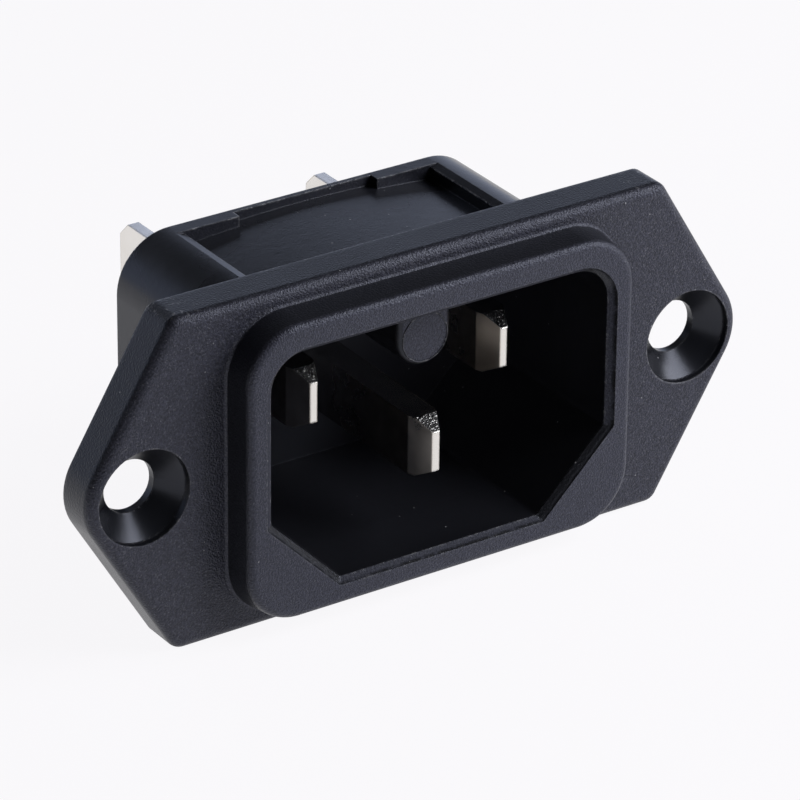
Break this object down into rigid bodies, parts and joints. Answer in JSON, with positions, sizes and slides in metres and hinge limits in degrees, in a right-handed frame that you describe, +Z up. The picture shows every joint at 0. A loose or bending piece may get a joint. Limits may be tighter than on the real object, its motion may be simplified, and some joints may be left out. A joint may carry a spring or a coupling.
{
  "type": "panel power inlet",
  "caption": "Screw-on panel power inlet: black moulded housing with a pointed flange, raised collar, keyed socket with a key ridge, flat contact pins in front and push-on tabs behind.",
  "frame": {"origin": "centre of the flange's rear face, midway between the two screw holes", "axes": "+X right as seen from the front, +Y back into the panel, +Z up, away from the cut corners"},
  "size_m": [0.0478, 0.0261, 0.0224],
  "materials": {
    "housing_plastic": "black thermoplastic, fine spark-eroded grain in front, smoother sides",
    "contact_plating": "brass with bright nickel plating, sheared edges"
  },
  "bodies": {
    "root": {"housing": "housing_plastic", "line_contact": "contact_plating", "neutral_contact": "contact_plating", "earth_contact": "contact_plating"}
  },
  "joints": []
}
